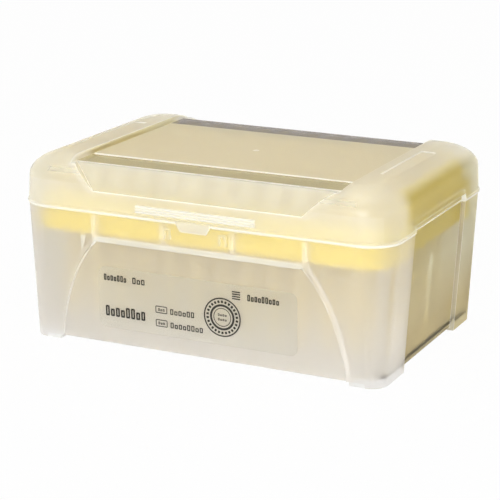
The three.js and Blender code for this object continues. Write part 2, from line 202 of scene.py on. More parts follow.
clearPlasticLook = {
    "milk": 0xFDFDFB,
    "milkForth": 0.4,        # share of the milk's light that goes on through the wall
    "gloss": 0.03,
    "leaving": 0.98,         # tint where light leaves the wall, the rest of the tint is on its way in
    "onward": (0.97, 0.97, 0.96, 1),    # tint of light that goes straight on at the end of a long path
    "lampShare": 0.90,       # lamp light that one surface passes, without milk
    "milkShade": 0.5,        # how much of it the milk takes
    "cloud": 14.0,           # width in millimetres of the uneven milk, and how far it varies
    "cloudRange": (0.88, 1.12),
}
# The end walls are clearer than the long ones, and tinted darker and warmer, which is painted shade. normal:
# from where to where their look grows, along the normal's X. foot and the heights after it: colour of the
# painted warm shade at the foot, and the heights over which it fades out.
endWalls = {"in": 0.30, "haze": 0.04, "through": 0xDEDAC1, "ior": 1.16, "normal": (0.45, 0.85),
            "foot": 0xCCBE93, "shadeFootAt": (10.0, 30.0)}
# Where along Y that look begins, is full, is still full and ends, on each moulding; it reaches further
# towards the rear, so the painted shade covers the rear corners too
endWidths = {"satin": (-22.9, -22.3, 50.0, 60.0), "lidSatin": (-31.0, -24.0, 26.0, 46.0),
             "lidFront": (-31.0, -24.0, 26.0, 46.0)}
longPath = {"Transmission Depth": 8, "Glossy Depth": 2, "Diffuse Depth": 2}    # beyond this, light goes on


def fineGrain(tree, place, width, height, detail):
    # The fine relief of a mould's or a coat's surface, as a normal; width and height in millimetres
    grain = addNode(tree, "ShaderNodeTexNoise",
                    {"Vector": place, "Scale": 1 / (width * mm), "Detail": detail})
    return addNode(tree, "ShaderNodeBump", {"Height": grain.outputs[0], "Distance": height * mm}).outputs[0]


def endWallBlend(tree, place, blend, width):
    # Replaces each value by a node socket that goes over to the end walls' own; their tint is painted shade,
    # darker and warmer towards the foot
    source = addNode(tree, "ShaderNodeTexCoord")
    facing = addNode(tree, "ShaderNodeSeparateXYZ", {0: source.outputs["Normal"]})
    across = addNode(tree, "ShaderNodeMath", {0: facing.outputs[0]}, operation="ABSOLUTE")
    spot = addNode(tree, "ShaderNodeSeparateXYZ", {0: place})
    offset = addNode(tree, "ShaderNodeMath", {0: spot.outputs[1], 1: middleY * mm}, operation="SUBTRACT")
    front, fullFront, fullRear, rear = [edge * mm for edge in width]
    begun = addNode(tree, "ShaderNodeMapRange", {"Value": offset.outputs[0], 1: front, 2: fullFront})
    ended = addNode(tree, "ShaderNodeMapRange", {"Value": offset.outputs[0], 1: rear, 2: fullRear})
    least, most = endWalls["normal"]
    turned = addNode(tree, "ShaderNodeMapRange", {"Value": across.outputs[0], 1: least, 2: most})
    share = turned.outputs[0]
    for limit in (begun, ended):
        both = addNode(tree, "ShaderNodeMath", {0: share, 1: limit.outputs[0]}, operation="MULTIPLY")
        share = both.outputs[0]

    # painted warm shade, darkest at the foot and fading out up the wall
    low, high = endWalls["shadeFootAt"]
    risen = addNode(tree, "ShaderNodeMapRange", {"Value": spot.outputs[2], 1: low * mm, 2: high * mm})
    warmShade = addNode(tree, "ShaderNodeMix",
                   {0: risen.outputs[0], 6: toLinear(endWalls["foot"]), 7: toLinear(endWalls["through"])},
                   data_type="RGBA")
    mixed = {}
    for key in ("in", "ior", "haze"):
        mixed[key] = addNode(tree, "ShaderNodeMapRange",
                             {"Value": share, 3: blend[key], 4: endWalls[key]}).outputs[0]
    mixed["through"] = addNode(tree, "ShaderNodeMix", {0: share, 6: blend["through"], 7: warmShade.outputs[2]},
                               data_type="RGBA").outputs[2]
    return mixed


def naturalPolypropylene(finish):
    # Natural polypropylene, 1.2 mm thick: milky, so what lies close behind it is clear and what lies
    # deeper is soft. It whitens where one looks along the wall.
    look, common = clearFinishes[finish], clearPlasticLook
    material, tree = newMaterial(finish + "NaturalPolypropylene")
    place = addNode(tree, "ShaderNodeTexCoord").outputs["Object"]
    path = addNode(tree, "ShaderNodeLightPath")
    side = addNode(tree, "ShaderNodeNewGeometry")

    bump = fineGrain(tree, place, *look["grain"], 2.0)
    cloud = addNode(tree, "ShaderNodeTexNoise",
                    {"Vector": place, "Scale": 1 / (common["cloud"] * mm), "Detail": 1.0})
    least, most = common["cloudRange"]
    flow = addNode(tree, "ShaderNodeMapRange", {"Value": cloud.outputs[0], 3: least, 4: most})

    blend = {"in": look["in"], "ior": look["ior"], "haze": look["haze"], "through": toLinear(look["through"])}
    if finish in endWidths:
        blend = endWallBlend(tree, place, blend, endWidths[finish])

    # Light spreads mostly where it leaves the wall, so ribs on its far side stay crisp
    spread = addNode(tree, "ShaderNodeMapRange",
                     {"Value": side.outputs["Backfacing"], 3: blend["in"], 4: look["out"]})
    tint = addNode(tree, "ShaderNodeMix",
                   {0: side.outputs["Backfacing"], 6: blend["through"], 7: [common["leaving"]] * 3 + [1.0]},
                   data_type="RGBA")
    refracted = addNode(tree, "ShaderNodeBsdfGlass",
                        {"Color": tint.outputs[2], "Roughness": spread.outputs[0],
                         "IOR": blend["ior"], "Normal": bump}, distribution="MULTI_GGX")

    milk = toLinear(common["milk"])
    back = addNode(tree, "ShaderNodeBsdfDiffuse", {"Color": milk, "Normal": bump})
    forth = addNode(tree, "ShaderNodeBsdfTranslucent", {"Color": milk, "Normal": bump})
    scattered = addNode(tree, "ShaderNodeMixShader",
                        {0: common["milkForth"], 1: back.outputs[0], 2: forth.outputs[0]})
    haze = addNode(tree, "ShaderNodeMath", {0: flow.outputs[0], 1: blend["haze"]}, operation="MULTIPLY")
    body = addNode(tree, "ShaderNodeMixShader",
                   {0: haze.outputs[0], 1: refracted.outputs[0], 2: scattered.outputs[0]})
    gloss = addNode(tree, "ShaderNodeBsdfGlossy", {"Roughness": look["shine"], "Normal": bump})
    surface = addNode(tree, "ShaderNodeMixShader",
                      {0: common["gloss"], 1: body.outputs[0], 2: gloss.outputs[0]})

    tired = 0.0
    for kind, longest in longPath.items():
        over = addNode(tree, "ShaderNodeMath", {0: path.outputs[kind], 1: longest}, operation="GREATER_THAN")
        either = addNode(tree, "ShaderNodeMath", {0: over.outputs[0], 1: tired}, operation="MAXIMUM")
        tired = either.outputs[0]
    onward = addNode(tree, "ShaderNodeBsdfTransparent", {"Color": common["onward"]})
    seen = addNode(tree, "ShaderNodeMixShader", {0: tired, 1: surface.outputs[0], 2: onward.outputs[0]})

    # lamps shine straight through, less so where the milk is dense
    passed = common["lampShare"] * (1 - common["milkShade"] * look["haze"])
    lampLight = addNode(tree, "ShaderNodeBsdfTransparent", {"Color": [passed] * 3 + [1.0]})
    shown = addNode(tree, "ShaderNodeMixShader",
                    {0: path.outputs["Is Shadow Ray"], 1: seen.outputs[0], 2: lampLight.outputs[0]})
    addNode(tree, "ShaderNodeOutputMaterial", {"Surface": shown.outputs[0]})
    return material


def colourCloud(tree, place, colours, width, detail):
    # Two close colours that run into each other, as pigment and wall thickness vary
    cloud = addNode(tree, "ShaderNodeTexNoise",
                    {"Vector": place, "Scale": 1 / (width * mm), "Detail": detail})
    tint = addNode(tree, "ShaderNodeMix",
                   {0: cloud.outputs[0], 6: toLinear(colours[0]), 7: toLinear(colours[1])}, data_type="RGBA")
    return tint.outputs[2]


trayFinish = {
    "colours": (0xE7CF22, 0xEDD93E), "cloud": 9.0,    # pigment, and how wide its clouds are
    "grain": (0.35, 0.012), "roughness": 0.38, "ior": 1.49,
    "glow": 0.18,            # share of light that comes through from behind
}


def yellowPolypropylene():
    # Pigmented polypropylene from a satin mould: even, slightly waxy, and it lets some light through.
    look = trayFinish
    material, tree = newMaterial("yellowPolypropylene")
    place = addNode(tree, "ShaderNodeTexCoord").outputs["Object"]
    tint = colourCloud(tree, place, look["colours"], look["cloud"], 2.0)
    bump = fineGrain(tree, place, *look["grain"], 2.0)
    wax = addNode(tree, "ShaderNodeBsdfPrincipled",
                  {"Base Color": tint, "Roughness": look["roughness"], "IOR": look["ior"], "Normal": bump})
    glow = addNode(tree, "ShaderNodeBsdfTranslucent", {"Color": tint})
    mixed = addNode(tree, "ShaderNodeMixShader", {0: look["glow"], 1: wax.outputs[0], 2: glow.outputs[0]})
    addNode(tree, "ShaderNodeOutputMaterial", {"Surface": mixed.outputs[0]})
    return material


tipFinish = {
    "colours": (0xF6F0CC, 0xFBF6DA), "cloud": 5.0,
    "roughness": 0.25, "ior": 1.49, "glow": 0.45,
    "through": 0xFFF8DE, "clear": 0.40,    # tint and share of light that goes straight through
    "clearToLamps": 0.75,    # and the share of lamp light that does
}


def tipPolypropylene():
    # Natural polypropylene, 0.5 mm thick: pale and milky, and what is behind shows through.
    look = tipFinish
    material, tree = newMaterial("tipPolypropylene")
    place = addNode(tree, "ShaderNodeTexCoord").outputs["Object"]
    path = addNode(tree, "ShaderNodeLightPath")
    tint = colourCloud(tree, place, look["colours"], look["cloud"], 1.0)
    wax = addNode(tree, "ShaderNodeBsdfPrincipled",
                  {"Base Color": tint, "Roughness": look["roughness"], "IOR": look["ior"]})
    glow = addNode(tree, "ShaderNodeBsdfTranslucent", {"Color": tint})
    mixed = addNode(tree, "ShaderNodeMixShader", {0: look["glow"], 1: wax.outputs[0], 2: glow.outputs[0]})
    clear = addNode(tree, "ShaderNodeBsdfTransparent", {"Color": toLinear(look["through"])})
    share = addNode(tree, "ShaderNodeMapRange",
                    {"Value": path.outputs["Is Shadow Ray"], 3: look["clear"], 4: look["clearToLamps"]})
    surface = addNode(tree, "ShaderNodeMixShader",
                      {0: share.outputs[0], 1: mixed.outputs[0], 2: clear.outputs[0]})
    addNode(tree, "ShaderNodeOutputMaterial", {"Surface": surface.outputs[0]})
    return material


filmFinish = {
    "grain": (0.5, 0.02), "roughness": 0.45,
    "coat": 0xEFEBE0, "cover": 0.08,       # colour of the matt coat, and how much it hides
    "through": (0.98, 0.98, 0.97, 1),
}


def matPolyesterFilm():
    # Clear polyester film with a matt top coat: it greys what lies behind it a little.
    look = filmFinish
    material, tree = newMaterial("matPolyesterFilm")
    place = addNode(tree, "ShaderNodeTexCoord").outputs["Object"]
    bump = fineGrain(tree, place, *look["grain"], 3.0)
    through = addNode(tree, "ShaderNodeBsdfTransparent", {"Color": look["through"]})
    coat = addNode(tree, "ShaderNodeBsdfPrincipled",
                   {"Base Color": toLinear(look["coat"]), "Roughness": look["roughness"], "Normal": bump})
    mixed = addNode(tree, "ShaderNodeMixShader",
                    {0: look["cover"], 1: through.outputs[0], 2: coat.outputs[0]})
    addNode(tree, "ShaderNodeOutputMaterial", {"Surface": mixed.outputs[0]})
    return material


inkFinish = {"colours": (0x161514, 0x2E2C2A), "speckle": 0.4, "roughness": 0.55}


def thermalTransferInk():
    # Black thermal-transfer ink: flat, with slightly uneven cover.
    look = inkFinish
    material, tree = newMaterial("thermalTransferInk")
    place = addNode(tree, "ShaderNodeTexCoord").outputs["Object"]
    tint = colourCloud(tree, place, look["colours"], look["speckle"], 3.0)
    black = addNode(tree, "ShaderNodeBsdfPrincipled", {"Base Color": tint, "Roughness": look["roughness"]})
    addNode(tree, "ShaderNodeOutputMaterial", {"Surface": black.outputs[0]})
    return material


clearPlastic = {finish: naturalPolypropylene(finish) for finish in clearFinishes}
trayPlastic = yellowPolypropylene()
tipPlastic = tipPolypropylene()
film = matPolyesterFilm()
ink = thermalTransferInk()
print("materials ready")


def finishPiece(name, bm, body, materials, replaced=(), smoothAngle=32):
    # Makes the object with its materials, smooth but for its sharp edges, gives it its body and hides the CAD
    # nodes that it replaces
    mesh = bpy.data.meshes.new(name)
    bm.to_mesh(mesh)
    bm.free()
    for material in materials:
        mesh.materials.append(material)
    mesh.shade_smooth()
    mesh.set_sharp_from_angle(angle=math.radians(smoothAngle))
    piece = bpy.data.objects.new(name, mesh)
    scene.collection.objects.link(piece)
    weighted = piece.modifiers.new("weighted", "WEIGHTED_NORMAL")
    weighted.keep_sharp = True
    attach(piece, body)
    if replaced:
        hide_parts(*replaced)
    print(name, "built,", len(mesh.polygons), "faces")
    return piece


def once(items):
    # Each item once, in their order, so that every run makes the same mesh
    return list(dict.fromkeys(items))


def smoothPatches(bm, sharp):
    # The faces in groups, each with sharp edges all round it
    known = set()
    for first in bm.faces:
        patch, reached = [], [first]
        while reached:
            face = reached.pop()
            if face not in known:
                known.add(face)
                patch.append(face)
                reached += [f for e in face.edges if e not in sharp for f in e.link_faces]
        if patch:
            yield patch


def nearEdge(point, ends):
    # Distance from a point to the edge between two ends
    along = ends[1] - ends[0]
    share = (point - ends[0]).dot(along) / along.length_squared
    return (point - ends[0] - along * min(max(share, 0), 1)).length


mouldedEdges = {
    "merge": 0.002, "flatAngle": 0.6,      # millimetres and degrees within which the mesh is cleaned first
    "sharpAngle": 28, "round": 0.15,
    "narrow": 1.5,           # faces narrower than this count as edges
    "beside": 0.9,           # cosine from which two edges run beside each other
    "room": {True: 2.1, False: 1.1},       # how far apart they stay, in roundings, if both or one is sharp
    "tries": (0.05, 0.5, 0.95),            # where along an edge that is measured
    "within": (0.02, 0.98),                # and the stretch of the other edge that counts
    "reach": 1.6, "most": 1.2,             # how far from an edge its band is cut and filled, in widths
}


def crowded(edge, sharp):
    # True where another edge of the same face runs beside this one, too close for both to be rounded
    rules = mouldedEdges
    first, last = rules["within"]
    start, along = edge.verts[0].co, edge.verts[1].co - edge.verts[0].co
    for face in edge.link_faces:
        for other in face.edges:
            way = other.verts[1].co - other.verts[0].co
            if other is edge or abs(along.dot(way)) < rules["beside"] * along.length * way.length:
                continue
            room = rules["room"][other in sharp] * rules["round"] * mm
            for point in (start + along * share for share in rules["tries"]):
                share = (point - other.verts[0].co).dot(way) / way.length_squared
                if first < share < last and (point - other.verts[0].co - way * share).length < room:
                    return True
    return False


def bisected(bm, faces, point, normal):
    # Cuts the faces along a plane through the point
    geom = once([part for f in faces for part in (f, *f.edges, *f.verts)])
    bmesh.ops.bisect_plane(bm, geom=geom, dist=touching, plane_co=point, plane_no=normal)


def cutBands(bm, patch, deepEdges, width):
    # Cuts lines beside the deep edges of a patch and returns the faces between line and edge
    beside = []
    for face in patch:
        for edge in face.edges:
            if edge in deepEdges:
                ends = [v.co.copy() for v in edge.verts]
                inward = face.normal.cross(ends[1] - ends[0]).normalized()
                if inward.dot(face.calc_center_median() - ends[0]) < 0:
                    inward.negate()
                beside.append((ends, inward))
    pieces, farthest = list(patch), mouldedEdges["reach"] * width
    for ends, inward in beside:
        near = [f for f in pieces if any(nearEdge(v.co, ends) < farthest for v in f.verts)
                or any(nearEdge(p, [v.co for v in e.verts]) < touching for p in ends for e in f.edges)]
        known = set(bm.faces)
        bisected(bm, near, ends[0] + inward * width, inward)
        pieces += [f for f in bm.faces if f not in known]

    def reach(point):
        return min(nearEdge(point, ends) for ends, inward in beside)

    return [f for f in pieces if reach(f.calc_center_median_weighted()) < width
            and max(reach(v.co) for v in f.verts) < mouldedEdges["most"] * width]


def finishSlots(look):
    # The material slot of each finish
    return {finish: slot for slot, finish in enumerate(look["finishes"])}


def softened(node, look):
    # A copy of a moulding with its edges broken, as the mould leaves them. Narrow faces and broken edges
    # get the edge finish, and a band beside an outer edge gets the deep one, where the look asks for it,
    # because there one looks along the wall.
    slots, rules = finishSlots(look), mouldedEdges
    bm = bmesh.new()
    bm.from_mesh(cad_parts[node].data)
    bmesh.ops.remove_doubles(bm, verts=bm.verts, dist=rules["merge"] * mm)
    bmesh.ops.dissolve_limit(bm, angle_limit=math.radians(rules["flatAngle"]), verts=bm.verts, edges=bm.edges)
    sharp = {e for e in bm.edges if e.calc_face_angle() > math.radians(rules["sharpAngle"])}
    for face in bm.faces:
        face.material_index = 0
    deep = {e for e in sharp if "band" in look and e.is_convex
            and e.calc_face_angle() > math.radians(look["deepAngle"])
            and e.verts[0].co.z < look["bandsBelow"] * mm and abs(e.verts[0].co.x) < look["bandsInside"] * mm}
    for patch in list(smoothPatches(bm, sharp)):
        area = sum(f.calc_area() for f in patch)
        rim = sum(e.calc_length() for f in patch for e in f.edges if e in sharp)
        if 2 * area < rules["narrow"] * mm * rim:
            for face in patch:
                face.material_index = slots["edge"]
        elif any(e in deep for f in patch for e in f.edges) and 2 * area > look["wide"] * mm * rim:
            for face in cutBands(bm, patch, deep, look["band"] * mm):
                face.material_index = slots["deep"]
    sharp = {e for e in bm.edges if e.calc_face_angle(0) > math.radians(rules["sharpAngle"])}
    free = [e for e in bm.edges if e in sharp and not crowded(e, sharp)]
    made = bmesh.ops.bevel(bm, geom=free, offset=rules["round"] * mm, offset_type="OFFSET", segments=2,
                           profile=0.5, affect="EDGES", clamp_overlap=False, material=-1)
    for face in made["faces"]:
        face.material_index = slots["edge"]
    return bm


boxLook = {
    "finishes": ("satin", "edge", "deep", "rib", "soft", "postEndShaded"),
    # the deep band beside the outer edges of wide faces
    "wide": 4.5, "deepAngle": 60, "band": 1.3, "bandsBelow": 34.5, "bandsInside": 52.0,
    # the arch of each label panel: its flanks and the straight ledge on top
    "archHalfX": 52.0, "archFrom": 38.0, "flankTop": 34.0, "flankNormal": 0.5, "wallNormal": 0.9,
    "ledgeHalfX": 41.0, "ledgeFrom": 34.6, "ledgeTo": 36.85,
    # the corner posts beside the end panels, and the panels' foot
    "postInside": 56.5, "postFrom": 20.0, "postTop": 43.0, "postNormal": 0.5,
    "footTop": 2.6, "footHalfY": 24.0,
    # the rim under the lid, and the two small marks below it
    "rimFrom": 43.0, "rimNormal": 0.5, "marksFrom": 37.5, "marksInside": 20.0, "marksOutside": 41.9,
    # the corner ribs
    "ribInside": 57.0, "ribY": (35.0, 37.0), "ribNormal": 0.6,
}


def boxFinish(face, look):
    # The finish of a face of the box by its place, or None where it stays as it is
    centre = face.calc_center_median() / mm
    x, y, z = abs(centre.x), abs(centre.y - middleY), centre.z
    across, along = abs(face.normal.x), abs(face.normal.y)
    inner, outer = look["ribY"]
    if along > look["ribNormal"] and x > look["ribInside"] and inner < y < outer and z < look["postTop"]:
        return "rib"
    if x < look["ledgeHalfX"] and look["ledgeFrom"] < z < look["ledgeTo"] and y > look["archFrom"]:
        return "deep"

    finish = None
    if look["finishes"][face.material_index] == "edge":
        post = x > look["postInside"] and y > look["postFrom"] and along > look["postNormal"]
        # the ends of the corner posts take the painted warm shade
        if post and min(v.co.z for v in face.verts) / mm < look["postTop"]:
            finish = "postEndShaded"
        if x > look["postInside"] and y < look["footHalfY"] and z < look["footTop"]:
            finish = "rib"
        if z > look["rimFrom"] and face.normal.z < look["rimNormal"]:
            finish = "soft"
        if look["marksFrom"] < z < look["rimFrom"] and x < look["marksInside"] and y > look["marksOutside"]:
            finish = "soft"
    if z < look["flankTop"] and x < look["archHalfX"] and y > look["archFrom"] and face.material_index:
        # one flank of each label panel shows crisp, through the band beside it, and the other one soft
        crisp = centre.x * (centre.y - middleY) < 0
        if crisp != (across < look["flankNormal"]):
            finish = look["finishes"][0]
        else:
            finish = "deep" if crisp else "soft"
    return finish


def buildBox():
    look = boxLook
    slots = finishSlots(look)
    bm = softened("base", look)
    # the straight band above the ledge is cut out of the walls, front and rear
    halfX = look["ledgeHalfX"]
    cuts = [((0, 0, look["ledgeTo"]), (0, 0, 1)), ((halfX, 0, 0), (1, 0, 0)), ((-halfX, 0, 0), (1, 0, 0))]
    for point, normal in cuts:
        walls = [f for f in bm.faces if abs(f.normal.y) > look["wallNormal"]
                 and abs(f.calc_center_median().y) > look["archFrom"] * mm]
        bisected(bm, walls, Vector(point) * mm, normal)
    for face in bm.faces:
        finish = boxFinish(face, look)
        if finish:
            face.material_index = slots[finish]
    finishPiece("tipBox", bm, "box", [clearPlastic[f] for f in look["finishes"]], ["base"])


lidLook = {
    "finishes": ("lidSatin", "edge", "frosted", "window", "strip", "rearStripPaintedShade", "lidFront", "deep"),
    "beadLine": 45.35, "beadTop": 46.4, "slack": 0.01,    # above the line the bead is as clear as the walls
    # the sunken panel, the flat strips before and behind it, and the windows that slope down from them
    "panelHalfX": 45.8, "panelHalfY": 26.0, "panelAbove": 59.2,
    "stripHalfX": 47.4, "stripFrom": 57.5, "stripTo": 59.15, "stripNormal": 0.95,
    "windowOuter": 44.0, "windowUp": (0.5, 0.9), "windowNormal": 0.5,
    # the flanks of the trough between the side bars, and the outside of the long walls
    "troughFrom": 51.0, "flankNormal": 0.6, "flankInside": 52.0,
    "frontFrom": 41.0, "frontTo": 52.0, "frontNormal": 0.5,
}


def lidFinish(face, look):
    # The finish of a face of the lid by its place, or None where it stays as it is
    centre = face.calc_center_median() / mm
    x, y, z = abs(centre.x), abs(centre.y - middleY), centre.z
    across, along, up = [abs(n) for n in face.normal]
    if look["finishes"][face.material_index] == "edge":
        flank = across > look["flankNormal"] and x < look["flankInside"] and z > look["troughFrom"]
        return "deep" if flank else None
    if x < look["panelHalfX"] and y < look["panelHalfY"] and z > look["panelAbove"]:
        return "frosted"
    if x < look["stripHalfX"]:
        sloping = look["windowUp"][0] < up < look["windowUp"][1] and along > look["windowNormal"]
        if sloping and y < look["windowOuter"] and z > look["troughFrom"]:
            return "window"
        # the front strip's darker tint is painted shade
        if up > look["stripNormal"] and y > look["panelHalfY"] and look["stripFrom"] < z < look["stripTo"]:
            # the rear strip takes the painted grey shade
            return "rearStripPaintedShade" if centre.y > middleY else "strip"
    if y > look["frontFrom"] and along > look["frontNormal"] and z < look["frontTo"]:
        return "lidFront"
    return None


def buildLid():
    look = lidLook
    slots = finishSlots(look)
    bm = softened("lid", look)
    bisected(bm, bm.faces[:], (0, 0, look["beadLine"] * mm), (0, 0, 1))
    for face in bm.faces:
        heights = [v.co.z / mm for v in face.verts]
        upper = look["beadLine"] - look["slack"] < min(heights) and max(heights) < look["beadTop"]
        if upper and face.material_index == slots["edge"]:
            face.material_index = 0
    for border in (-look["panelHalfY"], look["panelHalfY"]):
        bisected(bm, bm.faces[:], (0, (border + middleY) * mm, 0), (0, 1, 0))
    for face in bm.faces:
        finish = lidFinish(face, look)
        if finish:
            face.material_index = slots[finish]
    finishPiece("hingedLid", bm, "lid", [clearPlastic[f] for f in look["finishes"]], ["lid"])


gateLook = {"radius": 1.1, "height": 0.15, "topShare": 0.55, "sides": 32, "panelTop": 59.5}


def buildGateMark():
    # The small stub that the injection gate leaves in the middle of the lid
    look = gateLook
    bm = bmesh.new()
    bmesh.ops.create_circle(bm, cap_ends=True, segments=look["sides"], radius=look["radius"] * mm)
    raised = bmesh.ops.extrude_face_region(bm, geom=bm.faces[:])
    top = [v for v in raised["geom"] if isinstance(v, bmesh.types.BMVert)]
    bmesh.ops.translate(bm, verts=top, vec=(0, 0, look["height"] * mm))
    bmesh.ops.scale(bm, verts=top, vec=(look["topShare"], look["topShare"], 1))
    bmesh.ops.translate(bm, verts=bm.verts, vec=(0, middleY * mm, look["panelTop"] * mm))
    bmesh.ops.recalc_face_normals(bm, faces=bm.faces)
    finishPiece("gateMark", bm, "lid", [clearPlastic["edge"]])


trayLook = {
    # half length, half width, corner radius and height of the skirt's foot and of the plate's top
    "foot": (60.0, 39.0, 7.0, trayLow[2]), "top": (58.8, 37.8, 6.0, plateHigh[2]),
    "wall": 1.2, "plate": round(plateHigh[2] - plateLow[2], 3), "edge": 0.4,
    "cornerSegments": 10, "leastCorner": 0.5, "merge": 0.005, "sharpAngle": 60,
    "holeRadius": 3.1, "holeChamfer": 0.3, "holeSides": 20,
    # the wall that stands up at each end, its rounded corners and its broken edges
    "endInner": 58.7, "endOuter": trayHigh[0], "endHalfY": 24.8, "endFoot": 44.0, "endTop": trayHigh[2],
    "endCorner": 2.0, "endCornerSegments": 6, "endEdge": 0.25,
}
tipGrid = {"columns": 12, "rows": 8, "pitch": 9.0, "letters": "ABCDEFGH"}


def gridPlaces():
    for row in range(tipGrid["rows"]):
        y = ((tipGrid["rows"] - 1) / 2 - row) * tipGrid["pitch"] + middleY
        for column in range(tipGrid["columns"]):
            yield row, column, (column - (tipGrid["columns"] - 1) / 2) * tipGrid["pitch"], y


def roundedOutline(bm, halfX, halfY, radius, height, segments):
    # A flat rounded rectangle; returns its face
    before = set(bm.faces)
    made = bmesh.ops.create_grid(bm, x_segments=1, y_segments=1, size=1)
    bmesh.ops.scale(bm, verts=made["verts"], vec=(halfX * mm, halfY * mm, 1))
    bmesh.ops.translate(bm, verts=made["verts"], vec=(0, 0, height * mm))
    bmesh.ops.bevel(bm, geom=made["verts"], offset=radius * mm, offset_type="OFFSET", segments=segments,
                    profile=0.5, affect="VERTICES", clamp_overlap=False, material=-1)
    return [f for f in bm.faces if f not in before][0]


def wallBetween(bm, lower, upper, segments):
    # Joins two rounded outlines (halfX, halfY, radius, z) by a wall; returns the edges of both
    low = roundedOutline(bm, *lower, segments)
    high = roundedOutline(bm, *upper, segments)
    lowEdges, highEdges = low.edges[:], high.edges[:]
    bmesh.ops.delete(bm, geom=[low, high], context="FACES_ONLY")
    bmesh.ops.bridge_loops(bm, edges=lowEdges + highEdges)
    return lowEdges, highEdges


def buildTray():
    look = trayLook
    segments = look["cornerSegments"]
    bm = bmesh.new()

    def setIn(level, inset, z=None):
        halfX, halfY, radius, height = level
        corner = max(radius - inset, look["leastCorner"])
        return (halfX - inset, halfY - inset, corner, height if z is None else z)

    # The skirt from its foot up to the plate's broken edge, inside and outside
    foot, top = look["foot"], look["top"]
    shoulder = setIn(top, 0, top[3] - look["edge"])
    underPlate = setIn(top, look["wall"], top[3] - look["plate"])
    footOuter = wallBetween(bm, foot, shoulder, segments)[0]
    rim = wallBetween(bm, shoulder, setIn(top, look["edge"]), segments)[1]
    footInner, ceiling = wallBetween(bm, setIn(foot, look["wall"]), underPlate, segments)
    bmesh.ops.triangle_fill(bm, use_beauty=True, use_dissolve=False, edges=footOuter + footInner)
    bmesh.ops.translate(bm, verts=bm.verts, vec=(0, middleY * mm, 0))

    # The holes: a chamfered rim, then the bore down through the plate
    mouth = look["holeRadius"] + look["holeChamfer"]
    steps = ((look["holeRadius"] / mouth, look["holeChamfer"]), (1.0, look["plate"] - look["holeChamfer"]))
    mouths, bores = [], []
    for row, column, x, y in gridPlaces():
        made = bmesh.ops.create_circle(bm, cap_ends=False, segments=look["holeSides"], radius=mouth * mm,
                                       matrix=Matrix.Translation((x * mm, y * mm, top[3] * mm)))
        ring = once(e for v in made["verts"] for e in v.link_edges)
        mouths += ring
        centre = Matrix.Translation((-x * mm, -y * mm, 0))
        for scale, drop in steps:
            grown = bmesh.ops.extrude_edge_only(bm, edges=ring)["geom"]
            points = [g for g in grown if isinstance(g, bmesh.types.BMVert)]
            ring = [g for g in grown if isinstance(g, bmesh.types.BMEdge)]
            bmesh.ops.scale(bm, verts=points, vec=(scale, scale, 1), space=centre)
            bmesh.ops.translate(bm, verts=points, vec=(0, 0, -drop * mm))
        bores += ring
    bmesh.ops.triangle_fill(bm, use_beauty=True, use_dissolve=False, edges=rim + mouths)
    bmesh.ops.triangle_fill(bm, use_beauty=True, use_dissolve=False, edges=ceiling + bores)
    bmesh.ops.remove_doubles(bm, verts=bm.verts, dist=look["merge"] * mm)
    bmesh.ops.recalc_face_normals(bm, faces=bm.faces)

    # A wall at each end stands above the plate, with its upper corners rounded
    inner, outer, low, high = look["endInner"], look["endOuter"], look["endFoot"], look["endTop"]
    for side in (-1, 1):
        before = set(bm.verts)
        block = bmesh.ops.create_cube(bm, size=1)["verts"]
        size = (outer - inner, 2 * look["endHalfY"], high - low)
        bmesh.ops.scale(bm, verts=block, vec=[s * mm for s in size])
        middle = (side * (outer + inner) / 2, middleY, (high + low) / 2)
        bmesh.ops.translate(bm, verts=block, vec=[m * mm for m in middle])
        corners = [e for e in bm.edges if all(v in block and v.co.z > middle[2] * mm for v in e.verts)
                   and abs(e.verts[0].co.x - e.verts[1].co.x) > size[0] / 2 * mm]
        bmesh.ops.bevel(bm, geom=corners, offset=look["endCorner"] * mm, offset_type="OFFSET",
                        segments=look["endCornerSegments"], profile=0.5, affect="EDGES", clamp_overlap=False,
                        material=-1)
        wallEdges = [e for e in bm.edges if all(v not in before for v in e.verts)
                     and len(e.link_faces) == 2 and e.calc_face_angle() > math.radians(look["sharpAngle"])]
        bmesh.ops.bevel(bm, geom=wallEdges, offset=look["endEdge"] * mm, offset_type="OFFSET", segments=2,
                        profile=0.5, affect="EDGES", clamp_overlap=False, material=-1)
    bmesh.ops.recalc_face_normals(bm, faces=bm.faces)
    if bm.calc_volume(signed=True) < 0:
        bmesh.ops.reverse_faces(bm, faces=bm.faces)
    finishPiece("tipTray", bm, "box", [trayPlastic], ["tray_frame", "tray_plate"])


tipLook = {
    # radius and height from the collar's foot, outside then bore
    "outside": [(0.50, -42.5), (0.80, -36.0), (1.70, -17.0), (2.45, -2.2), (2.75, -0.6), (2.75, 0.0),
                (3.70, 0.05), (3.86, 0.35), (3.86, 6.9), (3.62, 7.45)],
    "inside": [(3.10, 7.45), (2.80, 6.6), (2.40, 0.0), (1.25, -17.0), (0.26, -42.5)],
    "sides": 24, "merge": 0.002,
    "ribDepth": 0.14,        # every second side of the collar is set back by this
    "ribFoot": 0.2, "ribTop": 7.0, "ribInside": 3.2,
    "turns": (37, 11),       # degrees from one tip to the next, along a row and from row to row
}


